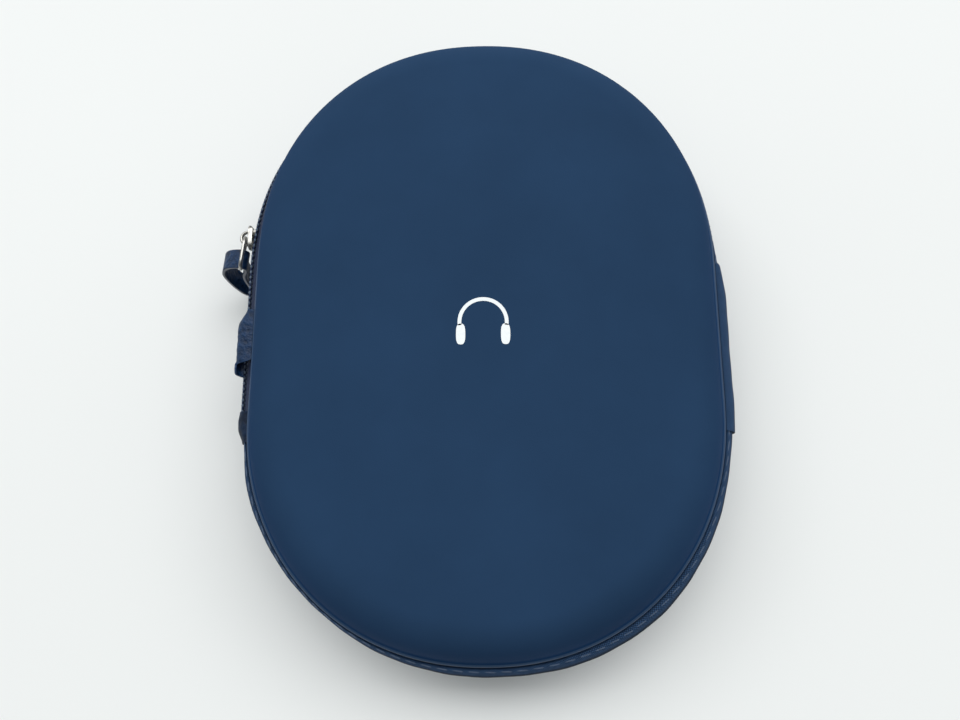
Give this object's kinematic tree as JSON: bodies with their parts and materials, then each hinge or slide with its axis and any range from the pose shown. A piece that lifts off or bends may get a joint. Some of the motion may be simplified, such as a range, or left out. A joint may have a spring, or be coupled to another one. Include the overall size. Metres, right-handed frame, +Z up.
{
  "type": "headphone carrying case",
  "caption": "Zipped hard-shell case that holds folded over-ear headphones; two moulded halves, cloth hinge, inner tray and a mesh pocket.",
  "frame": {"origin": "centre of the flat resting face under the base", "axes": "+Z up; +Y along the case; +X towards the cloth hinge, the zip slider is on the -X side"},
  "size_m": [0.1697, 0.2082, 0.056],
  "materials": {
    "moulded_leatherette": "satin, fine grain",
    "trim_leatherette": "satin, grained",
    "woven_band": "woven, matte",
    "zip_tape": "twill, matte",
    "zip_coil": "satin nylon",
    "soft_lining": "brushed, matte",
    "tray_fleece": "brushed, matte",
    "binding_tape": "ribbed, matte",
    "stretch_mesh": "open mesh",
    "silver_metal": "polished"
  },
  "bodies": {
    "base": {"base_shell": "moulded_leatherette", "base_liner": "soft_lining", "base_seam_binding": "binding_tape", "base_band": "woven_band", "base_zip_tape": "zip_tape", "base_zip_coil": "zip_coil", "base_hinge_cloth": "woven_band", "base_hinge_lining": "soft_lining", "base_end_cover": "trim_leatherette", "tray_insert": "tray_fleece", "centre_island": "tray_fleece", "zip_start_stop": "zip_coil", "zip_end_stop": "zip_coil"},
    "lid": {"lid_shell": "moulded_leatherette", "lid_liner": "soft_lining", "lid_seam_binding": "binding_tape", "lid_band": "woven_band", "lid_zip_tape": "zip_tape", "lid_zip_coil": "zip_coil", "lid_hinge_cloth": "woven_band", "lid_hinge_lining": "soft_lining", "lid_end_cover": "trim_leatherette", "lid_pocket_mesh": "stretch_mesh", "lid_pocket_hem": "binding_tape", "lid_pocket_binding": "binding_tape", "grab_tab": "trim_leatherette"},
    "zip_slider": {"slider_body": "silver_metal", "slider_bridge": "silver_metal"},
    "pull_ring": {"pull_ring": "silver_metal"},
    "pull_strap": {"pull_strap": "trim_leatherette"}
  },
  "joints": [
    {"name": "lid_hinge", "type": "hinge", "parent": "base", "child": "lid", "pos_m": [0.0801, -0.004, 0.028], "axis": [0, 1, 0], "range_deg": [0, 180]},
    {"name": "zip_slide", "type": "slide", "parent": "base", "child": "zip_slider", "axis": [-0.0119, -0.9999, 0], "range_m": [0, 0.055]},
    {"name": "ring_swing", "type": "hinge", "parent": "zip_slider", "child": "pull_ring", "pos_m": [-0.08085, 0.0354, 0.028], "axis": [0, 0, -1], "range_deg": [-3, 85]},
    {"name": "strap_swing", "type": "hinge", "parent": "pull_ring", "child": "pull_strap", "pos_m": [-0.0821, 0.0292, 0.02578], "axis": [0.1045, 0.9945, 0], "range_deg": [0, 75]}
  ]
}
